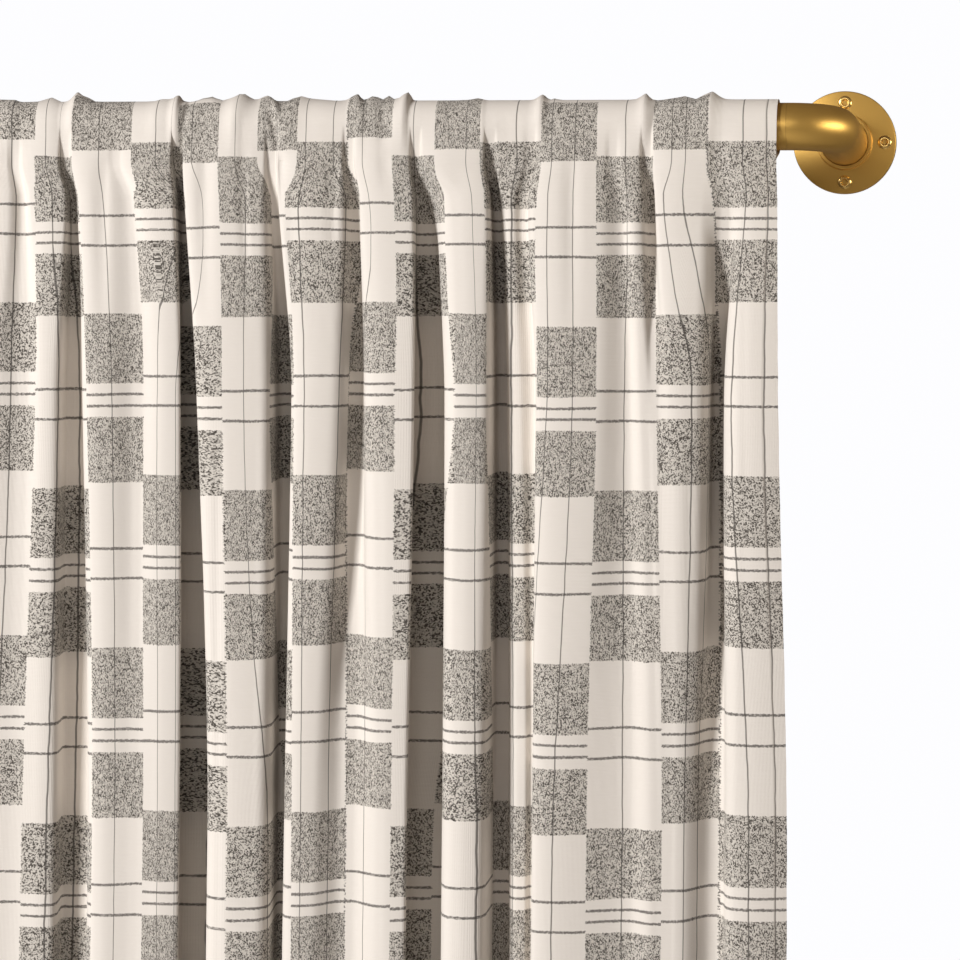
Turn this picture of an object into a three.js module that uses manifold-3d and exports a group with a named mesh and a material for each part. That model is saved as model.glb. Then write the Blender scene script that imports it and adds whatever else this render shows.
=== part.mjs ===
// Rod pocket curtain on a rod that returns to the wall
// One gathered panel of checked cloth hangs by its rod pocket from a straight tube. At each end
// an elbow turns the tube back to a round wall plate, held by four screws.
// Millimetres, +Z up, +Y into the wall. The origin is the centre of the right wall plate's back.

import * as THREE from 'three';
import { mergeVertices } from 'three/addons/utils/BufferGeometryUtils.js';
import Module from 'manifold-3d';

// Rod and returns
const rodRadius = 12.7;
const tubeWall = 1.4;
const projection = 85;
const span = 734;
const bendRadius = 24;
const seatGap = 0.3;
const boreGap = 0.4;
const tubeSides = 32;
const elbowSides = 24;
const elbowSteps = 9;

// Wall plate and its screws
const plateRadius = 28;
const plateThick = 3;
const collarRadius = 15;
const collarHeight = 5.9;
const socketFloor = 1.2;
const plateSides = 40;
const screwCircle = 21.7;
const screwCount = 4;
const screwSides = 12;
const headRadius = 3.3;
const shankRadius = 1.8;
const screwGap = 0.3;

// Curtain panel
const clothThick = 1.2;
const panelDrop = 2134;
const pocketSlack = 1.1;
const pocketArcs = 7;
const seamBelowAxis = 19;
const copyShift = 253;
const crownStep = 16;
const narrowCrown = 9;
const steepDepth = 22;
const shallowDepth = 10;
const tightestBend = 1.2;
const seamRim = 2;

// Heights below the rod's axis at which the folds are laid out, from the pocket seam to the hem
const hemDrop = panelDrop - rodRadius;
const layout = { seam: -seamBelowAxis, neck: -40, mid: -147, low: -387, hem: -hemDrop };
const layoutHeights = [layout.seam, layout.neck, layout.mid, layout.low, layout.hem];

// How far in front of the rod's axis the crowns of the folds stand at those heights
const crownForward = [14.6, 19, 21, 21, 19];

// Side edges of the panel at those heights
const rightEdge = [-28.5, -27.5, -26, -19.5, -14];
const leftEdge = [-705.5, -706, -707, -711, -716];

// Heights of the rows that carry the cloth below the seam
const rowHeights = [-seamBelowAxis, -29, -42, -75, -135, -230, -387, -hemDrop];

// Valleys between the folds, from left to right. Each stretch starts down at from, runs level
// from foot to heel, and is up again at to; deep is its depth behind the crowns, and rest is how
// far behind them the cloth stays beyond it; rim is how wide the bend over its left edge is. seam
// is where it closes up under the rod.
const valleys = [
  { seam: -439,
    neck: { from: -441.5, foot: -434.5, heel: -433, to: -428.5, deep: 5, rest: 0, rim: 3 },
    mid: { from: -446, foot: -435, heel: -430, to: -422, deep: 3, rest: 0, rim: 6 },
    low: { from: -446, foot: -436, heel: -432, to: -423, deep: 1, rest: 0, rim: 6 } },
  { seam: -412,
    neck: { from: -411.5, foot: -408.4, heel: -406, to: -402, deep: 13, rest: 0, rim: 3 },
    mid: { from: -416.5, foot: -410.5, heel: -402, to: -394, deep: 21, rest: 0, rim: 6 },
    low: { from: -415.5, foot: -409, heel: -397, to: -387.5, deep: 17, rest: 0, rim: 7 } },
  { seam: -384,
    neck: { from: -387.5, foot: -377.5, heel: -375.5, to: -368.5, deep: 3, rest: 0, rim: 8 },
    mid: { from: -384.5, foot: -372.5, heel: -368, to: -358.5, deep: 3.6, rest: 0, rim: 12 },
    low: { from: -380, foot: -371.5, heel: -367, to: -359, deep: 1, rest: 0, rim: 8 } },
  { seam: -351,
    neck: { from: -353, foot: -350.2, heel: -347.6, to: -343.5, deep: 26, rest: 0, rim: 2.5 },
    mid: { from: -347, foot: -351.5, heel: -339.5, to: -334.6, deep: 38, rest: 0, rim: 0.8 },
    low: { from: -344.7, foot: -349.5, heel: -331.5, to: -322.5, deep: 40, rest: 0, rim: 0.8 } },
  { seam: -300,
    neck: { from: -306.5, foot: -299, heel: -296.8, to: -293, deep: 9, rest: 0, rim: 6 },
    mid: { from: -304, foot: -296.6, heel: -288.6, to: -282.2, deep: 34, rest: 0, rim: 7.5 },
    low: { from: -304.5, foot: -294, heel: -290, to: -282.7, deep: 30, rest: 0, rim: 9 } },
  { seam: -258,
    neck: { from: -264, foot: -255, heel: -252.8, to: -249, deep: 10, rest: 0, rim: 6 },
    mid: { from: -266.5, foot: -254.5, heel: -252, to: -239.5, deep: 17, rest: 0, rim: 14 },
    low: { from: -273, foot: -257.5, heel: -252, to: -236, deep: 7, rest: 0, rim: 20 } },
  { seam: -222,
    neck: { from: -223.5, foot: -221, heel: -218.5, to: -199.5, deep: 13, rest: 0, rim: 1.5 },
    mid: { from: -221.3, foot: -224.5, heel: -208, to: -194.4, deep: 36, rest: 0, rim: 1 },
    low: { from: -223, foot: -225.5, heel: -206, to: -194.8, deep: 36, rest: 0, rim: 1.2 } },
  { seam: -182,
    neck: { from: -184.5, foot: -180.4, heel: -178, to: -173, deep: 18, rest: 7, rim: 3 },
    mid: { from: -185, foot: -178, heel: -174, to: -167.5, deep: 29, rest: 13, rim: 5 },
    low: { from: -187, foot: -177, heel: -171.5, to: -164, deep: 26, rest: 15, rim: 7 } },
  { seam: -160,
    neck: { from: -170, foot: -165, heel: -162.8, to: -156, deep: 10, rest: 0, rim: 4 },
    mid: { from: -165.5, foot: -159, heel: -157, to: -152.2, deep: 16, rest: 0, rim: 5 },
    low: { from: -161, foot: -158, heel: -156.8, to: -152.2, deep: 18, rest: 0, rim: 3 } },
  { seam: -116,
    neck: { from: -121.5, foot: -112, heel: -111, to: -105.5, deep: 4, rest: 0, rim: 6 },
    mid: { from: -122.5, foot: -107.5, heel: -106, to: -99.5, deep: 6.5, rest: 2.5, rim: 12 },
    low: { from: -131, foot: -108, heel: -103, to: -92.5, deep: 4, rest: 0, rim: 16 } },
  { seam: -98,
    neck: { from: -103, foot: -96.6, heel: -94.4, to: -91.5, deep: 11, rest: 0, rim: 6 },
    mid: { from: -96, foot: -93.5, heel: -90.5, to: -83, deep: 2.5, rest: 0, rim: 6 },
    low: { from: -89, foot: -86.5, heel: -84, to: -80, deep: 0, rest: 0, rim: 3 } },
  { seam: -60,
    neck: { from: -68.5, foot: -57, heel: -54, to: -45, deep: 2.6, rest: 0, rim: 8 },
    mid: { from: -72.5, foot: -61.8, heel: -59.5, to: -44.5, deep: 28, rest: 0, rim: 11 },
    low: { from: -76.5, foot: -58.5, heel: -57, to: -46, deep: 10.5, rest: 0, rim: 26 } },
];

// Rows of that table which the cloth past the left end of it repeats, copyShift further along
const copiedRows = [1, 3, 4, 5, 6];

// Pinched gathers that stand up over the rod: their place, rise and half width
const gathers = [
  { at: -420, rise: 1.6, half: 5 },
  { at: -405, rise: 2.7, half: 5 },
  { at: -337, rise: 1.6, half: 4 },
  { at: -324, rise: 1.2, half: 5 },
  { at: -304, rise: 2.2, half: 5 },
  { at: -284, rise: 2.2, half: 6 },
  { at: -254, rise: 3.2, half: 5 },
  { at: -241, rise: 2.2, half: 5 },
  { at: -227, rise: 3.8, half: 4.5 },
  { at: -189, rise: 1.1, half: 5 },
  { at: -155, rise: 3, half: 5 },
  { at: -99, rise: 3, half: 4.5 },
  { at: -80, rise: 2.4, half: 5 },
  { at: -65, rise: 4.2, half: 5 },
];

const wasm = await Module();
wasm.setup();

// Helpers for closed meshes

function solidOf(geometry) {
  const bare = geometry.clone();
  bare.deleteAttribute('normal');
  bare.deleteAttribute('uv');
  const merged = mergeVertices(bare, 1e-4);
  const mesh = new wasm.Mesh({
    numProp: 3,
    vertProperties: new Float32Array(merged.attributes.position.array),
    triVerts: new Uint32Array(merged.index.array),
  });
  return new wasm.Manifold(mesh);
}

function geometryOf(solid) {
  const mesh = solid.getMesh();
  const geometry = new THREE.BufferGeometry();
  geometry.setAttribute('position', new THREE.BufferAttribute(new Float32Array(mesh.vertProperties), 3));
  geometry.setIndex(Array.from(mesh.triVerts));
  geometry.computeVertexNormals();
  return geometry;
}

function turned(profile, sides) {
  // A turned body about the wall's normal: radius, then height off the wall
  const points = profile.map(([radius, height]) => new THREE.Vector2(radius, height));
  const geometry = new THREE.LatheGeometry(points, sides);
  geometry.rotateX(Math.PI);
  return geometry;
}

// Smooth value through one entry for each height, with no overshoot between them
function atHeight(heights, values, height) {
  const last = heights.length - 1;
  if (height >= heights[0]) return values[0];
  if (height <= heights[last]) return values[last];
  let i = 0;
  while (height < heights[i + 1]) i += 1;
  const secant = (k) => (values[k + 1] - values[k]) / (heights[k + 1] - heights[k]);
  const slope = (k) => {
    if (k === 0 || k === last) return 0;
    const before = secant(k - 1);
    const after = secant(k);
    return before * after <= 0 ? 0 : (2 * before * after) / (before + after);
  };
  const width = heights[i + 1] - heights[i];
  const t = (height - heights[i]) / width;
  const startPull = t * (1 - t) * (1 - t) * width * slope(i);
  const endPull = t * t * (t - 1) * width * slope(i + 1);
  const ease = t * t * (3 - 2 * t);
  return values[i] * (1 - ease) + values[i + 1] * ease + startPull + endPull;
}

// Flank of a fold: a bend over its rim, a straight, and a tighter bend at the foot, level at both
// ends. Its points run from the rim to the foot.
function flank(width, drop, steps, rim = Infinity) {
  const shares = Array.from({ length: steps }, (_, k) => (k + 1) / steps);
  if (drop < 0.05) return shares.map((share) => [width * share, drop * share]);
  const widest = (width * width + drop * drop) / (2 * drop);
  const both = 0.97 * Math.min(Math.max(width, 2 * tightestBend), widest);
  const tight = Math.min(Math.max(tightestBend, (both * width) / (width + 2 * drop)), both / 2);
  const wide = Math.min(rim, both - tight);
  const sum = wide + tight;
  const straight = Math.sqrt(Math.max(width * width + (drop - sum) ** 2 - sum * sum, 0));
  const turn = Math.atan2(drop - sum, width) + Math.atan2(sum, straight);
  const total = sum * turn + straight;
  return shares.map((share) => {
    const along = total * share;
    if (along <= wide * turn) return [wide * Math.sin(along / wide), wide * (1 - Math.cos(along / wide))];
    if (along <= wide * turn + straight) {
      const run = along - wide * turn;
      return [
        wide * Math.sin(turn) + run * Math.cos(turn),
        wide * (1 - Math.cos(turn)) + run * Math.sin(turn),
      ];
    }
    const left = (total - along) / tight;
    return [width - tight * Math.sin(left), drop - tight * (1 - Math.cos(left))];
  });
}

// All valleys of the panel with their repeats, each with one entry for each layout height
function laidOut(row, shift) {
  const closed = {
    from: row.seam - 4.6,
    foot: row.seam - 1.7,
    heel: row.seam + 1.7,
    to: row.seam + 4.6,
    deep: 0.35 * row.neck.deep,
    rest: 0.35 * row.neck.rest,
    rim: seamRim,
  };
  // Past the lowest chart the folds ease and sway a little on their way to the hem
  const sway = 5 * Math.sin(row.seam / 40);
  const eased = { ...row.low, deep: 0.85 * row.low.deep };
  for (const key of ['from', 'foot', 'heel', 'to']) eased[key] += sway;
  const stages = [closed, row.neck, row.mid, row.low, eased];
  const places = {};
  for (const key of ['from', 'foot', 'heel', 'to']) places[key] = stages.map((stage) => stage[key] - shift);
  for (const key of ['deep', 'rest', 'rim']) places[key] = stages.map((stage) => stage[key]);
  return places;
}

const folds = [
  ...copiedRows.map((index) => laidOut(valleys[index], copyShift)),
  ...valleys.map((row) => laidOut(row, 0)),
];

// Number of steps over each stretch, the same at every height so that the rows match
const stretches = folds.map((fold, index) => {
  const before = index === 0 ? leftEdge[2] : folds[index - 1].to[2];
  const wide = fold.from[2] - before;
  const crown = Math.max(wide > narrowCrown ? 2 : 1, Math.round(wide / crownStep));
  const deepest = Math.max(...fold.deep);
  const side = deepest > steepDepth ? 4 : deepest > shallowDepth ? 3 : 2;
  const floor = fold.heel[2] - fold.foot[2] > 6 ? 2 : 1;
  return { crown, side, floor };
});
const lastCrown = Math.max(2, Math.round((rightEdge[2] - folds[folds.length - 1].to[2]) / crownStep));

// Middle line of the cloth at one height, as points of x and y, from left to right
function section(height) {
  const read = (values) => atHeight(layoutHeights, values, height);
  const crownY = -projection - read(crownForward);
  const swell = 0.06;
  const points = [[read(leftEdge), crownY]];
  let x = points[0][0];
  let behind = 0;
  const level = (to, steps) => {
    const wide = to - x;
    for (let k = 1; k <= steps; k += 1) {
      const t = k / steps;
      points.push([x + wide * t, crownY + behind - swell * wide * 4 * t * (1 - t)]);
    }
    x = to;
  };
  folds.forEach((fold, index) => {
    const { crown, side, floor } = stretches[index];
    const deep = read(fold.deep);
    const rest = read(fold.rest);
    level(read(fold.from), crown);
    flank(read(fold.foot) - x, deep - behind, side, read(fold.rim)).forEach(([along, back]) => {
      points.push([x + along, crownY + behind + back]);
    });
    x = read(fold.foot);
    behind = deep;
    const wide = read(fold.heel) - x;
    for (let k = 1; k <= floor; k += 1) points.push([x + (wide * k) / floor, crownY + behind]);
    const end = read(fold.to);
    const rising = flank(end - read(fold.heel), deep - rest, side).reverse();
    [...rising.slice(1), [0, 0]].forEach(([along, back]) => {
      points.push([end - along, crownY + rest + back]);
    });
    x = end;
    behind = rest;
  });
  level(read(rightEdge), lastCrown);
  return points;
}

// Front and back faces of the cloth at one height
function faces(height) {
  const middle = section(height);
  return middle.map(([x, y], index) => {
    const [beforeX, beforeY] = middle[Math.max(index - 1, 0)];
    const [afterX, afterY] = middle[Math.min(index + 1, middle.length - 1)];
    const size = Math.hypot(afterX - beforeX, afterY - beforeY);
    const acrossX = (afterY - beforeY) / size;
    const acrossY = -(afterX - beforeX) / size;
    const half = clothThick / 2;
    return {
      front: [x + half * acrossX, y + half * acrossY, height],
      back: [x - half * acrossX, y - half * acrossY, height],
    };
  });
}

function gatherRise(x) {
  let rise = 0;
  for (const gather of gathers) {
    for (const shift of [0, copyShift]) {
      const away = (x - gather.at + shift) / gather.half;
      rise += gather.rise * Math.exp(-away * away);
    }
  }
  return rise;
}

// Angles round the rod between which the pocket is round, seen from the closing point below it
function pocketSpread(tip, radius) {
  const toward = Math.atan2(tip[1], tip[0] + projection);
  const beside = Math.acos(radius / Math.hypot(tip[0] + projection, tip[1]));
  let start = toward - beside;
  const end = toward + beside;
  while (start < end) start += 2 * Math.PI;
  return [start, end];
}

// Round part of the pocket at one place along the rod, up its front and down behind the rod
function pocketLoop(x, radius, [start, end]) {
  const loop = [];
  for (let k = 0; k <= pocketArcs; k += 1) {
    const angle = start + ((end - start) * k) / pocketArcs;
    loop.push([x, -projection + radius * Math.cos(angle), radius * Math.sin(angle)]);
  }
  return loop;
}

// Curtain panel: one closed body of front, back, pocket tunnel, side edges and hem
function curtainPanel() {
  const rows = rowHeights.map(faces);
  const columns = rows[0].length;
  const tunnelRadius = rodRadius + pocketSlack;
  const sections = [];
  for (let j = 0; j < columns; j += 1) {
    const seam = rows[0][j];
    const x = (seam.front[0] + seam.back[0]) / 2;
    const tip = [(seam.front[1] + seam.back[1]) / 2, -seamBelowAxis + clothThick];
    const radius = tunnelRadius + gatherRise(x);
    const spread = pocketSpread(tip, radius);
    const outer = pocketLoop(x, radius + clothThick, spread);
    const inner = pocketLoop(x, radius, spread);
    const front = rows.map((row) => row[j].front).reverse();
    const back = rows.map((row) => row[j].back);
    sections.push({ skin: [...front, ...outer, ...back], tunnel: [[x, ...tip], ...inner] });
  }
  const skinSize = sections[0].skin.length;
  const tunnelSize = sections[0].tunnel.length;
  const size = skinSize + tunnelSize;
  const positions = sections.flatMap(({ skin, tunnel }) => [...skin, ...tunnel]).flat();
  const triangles = [];
  const quad = (a, b, c, d) => triangles.push(a, b, c, a, c, d);
  for (let j = 0; j + 1 < columns; j += 1) {
    const here = j * size;
    const next = here + size;
    for (let k = 0; k < skinSize; k += 1) {
      const up = (k + 1) % skinSize;
      quad(here + k, next + k, next + up, here + up);
    }
    for (let k = 0; k < tunnelSize; k += 1) {
      const up = (k + 1) % tunnelSize;
      const base = here + skinSize;
      const beyond = next + skinSize;
      quad(base + up, beyond + up, beyond + k, base + k);
    }
  }
  const rowCount = rows.length;
  const edge = (column, flip) => {
    const base = column * size;
    const faceQuad = (a, b, c, d) => (flip ? quad(base + d, base + c, base + b, base + a)
      : quad(base + a, base + b, base + c, base + d));
    // Single cloth below the seam
    for (let k = 0; k + 1 < rowCount; k += 1) faceQuad(k, k + 1, skinSize - 2 - k, skinSize - 1 - k);
    // Ring of cloth round the tunnel
    const loopStart = rowCount - 1;
    const tip = skinSize;
    const ring = [loopStart];
    for (let k = 0; k <= pocketArcs; k += 1) ring.push(rowCount + k);
    ring.push(rowCount + pocketArcs + 1);
    for (let k = 0; k + 1 < ring.length; k += 1) {
      const innerHere = k === 0 ? tip : tip + k;
      const innerNext = k + 2 === ring.length ? tip : tip + k + 1;
      faceQuad(ring[k], ring[k + 1], innerNext, innerHere);
    }
    const seamFace = [base + ring[0], base + tip, base + ring[ring.length - 1]];
    if (flip) seamFace.reverse();
    triangles.push(...seamFace);
  };
  edge(0, false);
  edge(columns - 1, true);
  const geometry = new THREE.BufferGeometry();
  geometry.setAttribute('position', new THREE.Float32BufferAttribute(positions, 3));
  geometry.setIndex(triangles);
  geometry.computeVertexNormals();
  return geometry;
}

// Straight tube between the elbows
function rodTube() {
  const length = span - 2 * bendRadius - 2 * seatGap;
  const inside = rodRadius - tubeWall;
  const ring = [[inside, 0], [rodRadius, 0], [rodRadius, length], [inside, length], [inside, 0]];
  const geometry = new THREE.LatheGeometry(ring.map(([r, h]) => new THREE.Vector2(r, h)), tubeSides);
  geometry.rotateZ(Math.PI / 2);
  geometry.translate(-bendRadius - seatGap, -projection, 0);
  return geometry;
}

// Middle line of a right-hand return: a quarter bend off the rod, then straight into the plate
class ReturnLine extends THREE.Curve {
  getPoint(t, target = new THREE.Vector3()) {
    const arc = (bendRadius * Math.PI) / 2;
    const leg = projection - bendRadius - socketFloor - seatGap;
    const along = t * (arc + leg);
    if (along < arc) {
      const turn = along / bendRadius;
      return target.set(-bendRadius * (1 - Math.sin(turn)), -projection + bendRadius * (1 - Math.cos(turn)), 0);
    }
    return target.set(0, -projection + bendRadius + along - arc, 0);
  }
}

function elbow(mirrored) {
  const ring = new THREE.Shape();
  ring.absarc(0, 0, rodRadius, 0, 2 * Math.PI, false);
  const hollow = new THREE.Path();
  hollow.absarc(0, 0, rodRadius - tubeWall, 0, 2 * Math.PI, true);
  ring.holes.push(hollow);
  const settings = { steps: elbowSteps, curveSegments: elbowSides / 2, extrudePath: new ReturnLine() };
  const geometry = new THREE.ExtrudeGeometry(ring, settings);
  if (!mirrored) return geometry;
  const flipped = solidOf(geometry).mirror([1, 0, 0]);
  return geometryOf(flipped);
}

// Wall plate: a turned disc with a raised collar round the tube's socket, countersunk for screws
function wallPlate() {
  const bore = rodRadius + boreGap;
  const bevel = 0.7;
  const disc = turned([
    [0, 0],
    [plateRadius, 0],
    [plateRadius, plateThick - bevel],
    [plateRadius - bevel, plateThick],
    [collarRadius + 0.6, plateThick],
    [collarRadius, plateThick + 0.7],
    [collarRadius, collarHeight - 0.8],
    [collarRadius - 0.8, collarHeight],
    [bore, collarHeight],
    [bore, socketFloor],
    [0, socketFloor],
  ], plateSides);
  const sink = turned([
    [0, -1],
    [shankRadius + screwGap, -1],
    [shankRadius + screwGap, 0.9],
    [headRadius + screwGap, plateThick - 0.1],
    [headRadius + screwGap, plateThick + 1],
    [0, plateThick + 1],
  ], screwSides);
  let plate = solidOf(disc);
  for (let k = 0; k < screwCount; k += 1) {
    const angle = (2 * Math.PI * k) / screwCount;
    const tool = solidOf(sink).translate([screwCircle * Math.cos(angle), 0, screwCircle * Math.sin(angle)]);
    plate = plate.subtract(tool);
  }
  return geometryOf(plate);
}

// Screw with a shallow dished recess in its low domed head, cut off level with the wall
function screw() {
  return turned([
    [0, 0.2],
    [shankRadius, 0.2],
    [shankRadius, 0.9],
    [headRadius, plateThick - 0.2],
    [headRadius - 0.5, plateThick + 0.5],
    [1.5, plateThick + 0.75],
    [0, plateThick - 0.3],
  ], screwSides);
}

// Materials
const finish = (color, roughness, metalness) => new THREE.MeshStandardMaterial({ color, roughness, metalness });
const clothFinish = () => finish(0xd8d0c6, 0.95, 0);
const brassFinish = () => finish(0xb08d42, 0.34, 1);

// Assembly
const curtain = new THREE.Group();

function place(geometry, name, material, x = 0, z = 0) {
  const mesh = new THREE.Mesh(geometry, material);
  mesh.name = name;
  mesh.position.set(x, 0, z);
  curtain.add(mesh);
}

place(curtainPanel(), 'curtain_panel', clothFinish());
place(rodTube(), 'rod_tube', brassFinish());
for (const [side, x, mirrored] of [['right', 0, false], ['left', -span, true]]) {
  place(elbow(mirrored), `elbow_${side}`, brassFinish(), x);
  place(wallPlate(), `wall_plate_${side}`, brassFinish(), x);
  for (let k = 0; k < screwCount; k += 1) {
    const angle = (2 * Math.PI * k) / screwCount;
    const outX = x + screwCircle * Math.cos(angle);
    place(screw(), `screw_${side}_${k + 1}`, brassFinish(), outX, screwCircle * Math.sin(angle));
  }
}

export default curtain;
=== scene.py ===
"""Rod pocket curtain on a rod that returns to the wall.

The sheet of checked cloth is laid out from the fold chart, one row of the chart for each valley
between two folds, and gathered round the rod by its pocket. Tube, returns, wall plates and
screws are turned, bent and drilled in brass.
Charts are in millimetres, the model is in metres. +Z up, +Y into the wall.
"""

import math

import bmesh
import bpy
import numpy as np
from mathutils import Matrix, Vector


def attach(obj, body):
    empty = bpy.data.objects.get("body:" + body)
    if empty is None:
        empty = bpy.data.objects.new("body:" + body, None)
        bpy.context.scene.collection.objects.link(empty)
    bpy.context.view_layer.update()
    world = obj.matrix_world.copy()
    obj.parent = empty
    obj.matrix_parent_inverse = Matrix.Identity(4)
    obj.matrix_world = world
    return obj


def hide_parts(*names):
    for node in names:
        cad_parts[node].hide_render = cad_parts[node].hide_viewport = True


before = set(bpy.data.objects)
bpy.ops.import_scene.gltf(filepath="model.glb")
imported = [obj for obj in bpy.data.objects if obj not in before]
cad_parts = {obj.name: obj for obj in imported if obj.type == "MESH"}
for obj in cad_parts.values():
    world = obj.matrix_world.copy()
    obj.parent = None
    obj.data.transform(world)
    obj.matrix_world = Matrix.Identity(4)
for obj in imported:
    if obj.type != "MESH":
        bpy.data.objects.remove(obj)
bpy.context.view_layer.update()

MM = 0.001

# ---------------------------------------------------------------- sizes of the rod and its ends

ROD_RADIUS = 12.7
TUBE_WALL = 1.4
PROJECTION = 85.0
SPAN = 734.0
BEND_RADIUS = 24.0
SOCKET_FLOOR = 1.2
BORE_GAP = 0.4
PLATE_RADIUS = 28.0
PLATE_THICK = 3.0
COLLAR_RADIUS = 15.0
COLLAR_HEIGHT = 5.9
SCREW_CIRCLE = 21.7
SCREW_COUNT = 4
HEAD_RADIUS = 3.7
SHANK_RADIUS = 1.8
JOINT_GAP = 0.1

# ---------------------------------------------------------------- the cloth

SEAM_Z = -19.0
HEM_Z = -2121.3
POCKET_RADIUS = 14.6
REPEAT_SHIFT = 253.0
TIGHTEST_BEND = 1.2

# A valley at the seam and at the hem, against its neck and low charts
SEAM_SHARE = 0.35
SEAM_RIM = 2.0
HEM_SHARE = 0.85
HEM_SWAY = 5.0
SWAY_SPACING = 40.0

# Heights at which the folds are charted: seam, neck, middle, low and hem
LEVELS = (SEAM_Z, -40.0, -147.0, -387.0, HEM_Z)
# How far the crowns stand in front of the rod's axis there, and the panel's side edges
CROWN_FORWARD = (15.2, 19.6, 21.6, 21.6, 19.6)
RIGHT_EDGE = (-28.5, -27.5, -26.0, -19.5, -14.0)
LEFT_EDGE = (-705.5, -706.0, -707.0, -711.0, -716.0)


class Valley:
    """One valley between two folds: where it starts down, its floor, where it is up again, how
    deep it is, how far back the cloth stays after it, and how wide the bend over its left rim is,
    at the neck, middle and low charts. seam is where it closes up under the rod."""

    KEYS = ("start", "foot", "heel", "end", "deep", "rest", "rim")
    BESIDE_SEAM = {"start": -4.6, "foot": -1.7, "heel": 1.7, "end": 4.6}

    def __init__(self, seam, neck, mid, low):
        self.seam = seam
        self.charts = [dict(zip(self.KEYS, row)) for row in (neck, mid, low)]

    def placed(self, key, shift):
        neck, mid, low = (chart[key] for chart in self.charts)
        if key == "rim":
            return [SEAM_RIM, neck, mid, low, low]
        if key == "deep":
            return [SEAM_SHARE * neck, neck, mid, low, low * HEM_SHARE]
        if key == "rest":
            return [SEAM_SHARE * neck, neck, mid, low, low]
        at_seam = self.seam + self.BESIDE_SEAM[key]
        sway = HEM_SWAY * math.sin(self.seam / SWAY_SPACING)
        return [value - shift for value in (at_seam, neck, mid, low, low + sway)]


#               start,   foot,    heel,    end,    deep, rest, rim
VALLEYS = [
    Valley(-439.0, (-441.5, -434.5, -433.0, -428.5, 5, 0, 3),
           (-446.0, -435.0, -430.0, -422.0, 3, 0, 6),
           (-446.0, -436.0, -432.0, -423.0, 1, 0, 6)),
    Valley(-412.0, (-411.5, -408.4, -406.0, -402.0, 13, 0, 3),
           (-416.5, -410.5, -402.0, -394.0, 21, 0, 6),
           (-415.5, -409.0, -397.0, -387.5, 17, 0, 7)),
    Valley(-384.0, (-387.5, -377.5, -375.5, -368.5, 3, 0, 8),
           (-384.5, -372.5, -368.0, -358.5, 3.6, 0, 12),
           (-380.0, -371.5, -367.0, -359.0, 1, 0, 8)),
    Valley(-351.0, (-353.0, -350.2, -347.6, -343.5, 26, 0, 2.5),
           (-347.0, -351.5, -339.5, -334.6, 38, 0, 0.8),
           (-344.7, -349.5, -331.5, -322.5, 40, 0, 0.8)),
    Valley(-300.0, (-306.5, -299.0, -296.8, -293.0, 9, 0, 6),
           (-304.0, -296.6, -288.6, -282.2, 34, 0, 7.5),
           (-304.5, -294.0, -290.0, -282.7, 30, 0, 9)),
    Valley(-258.0, (-264.0, -255.0, -252.8, -249.0, 10, 0, 6),
           (-266.5, -254.5, -252.0, -239.5, 17, 0, 14),
           (-273.0, -257.5, -252.0, -236.0, 7, 0, 20)),
    Valley(-222.0, (-223.5, -221.0, -218.5, -199.5, 13, 0, 1.5),
           (-221.3, -224.5, -208.0, -194.4, 36, 0, 1.0),
           (-223.0, -225.5, -206.0, -194.8, 36, 0, 1.2)),
    Valley(-182.0, (-184.5, -180.4, -178.0, -173.0, 18, 7, 3),
           (-185.0, -178.0, -174.0, -167.5, 29, 13, 5),
           (-187.0, -177.0, -171.5, -164.0, 26, 15, 7)),
    Valley(-160.0, (-170.0, -165.0, -162.8, -156.0, 10, 0, 4),
           (-165.5, -159.0, -157.0, -152.2, 16, 0, 5),
           (-161.0, -158.0, -156.8, -152.2, 18, 0, 3)),
    Valley(-116.0, (-121.5, -112.0, -111.0, -105.5, 4, 0, 6),
           (-122.5, -107.5, -106.0, -99.5, 6.5, 2.5, 12),
           (-131.0, -108.0, -103.0, -92.5, 4, 0, 16)),
    Valley(-98.0, (-103.0, -96.6, -94.4, -91.5, 11, 0, 6),
           (-96.0, -93.5, -90.5, -83.0, 2.5, 0, 6),
           (-89.0, -86.5, -84.0, -80.0, 0, 0, 3)),
    Valley(-60.0, (-68.5, -57.0, -54.0, -45.0, 2.6, 0, 8),
           (-72.5, -61.8, -59.5, -44.5, 28, 0, 11),
           (-76.5, -58.5, -57.0, -46.0, 10.5, 0, 26)),
]

# Valleys that come again on the left, outside the photo
REPEATED = (1, 3, 4, 5, 6)


class Gather:
    """A pinched ridge round the front of the pocket, from its place on top of the rod to its
    place above the seam: how high it stands there, and how far it reaches to each side."""

    def __init__(self, top, seam, high, low, left, right):
        self.top, self.seam, self.high, self.low = top, seam, high, low
        self.left, self.right = left, right


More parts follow.
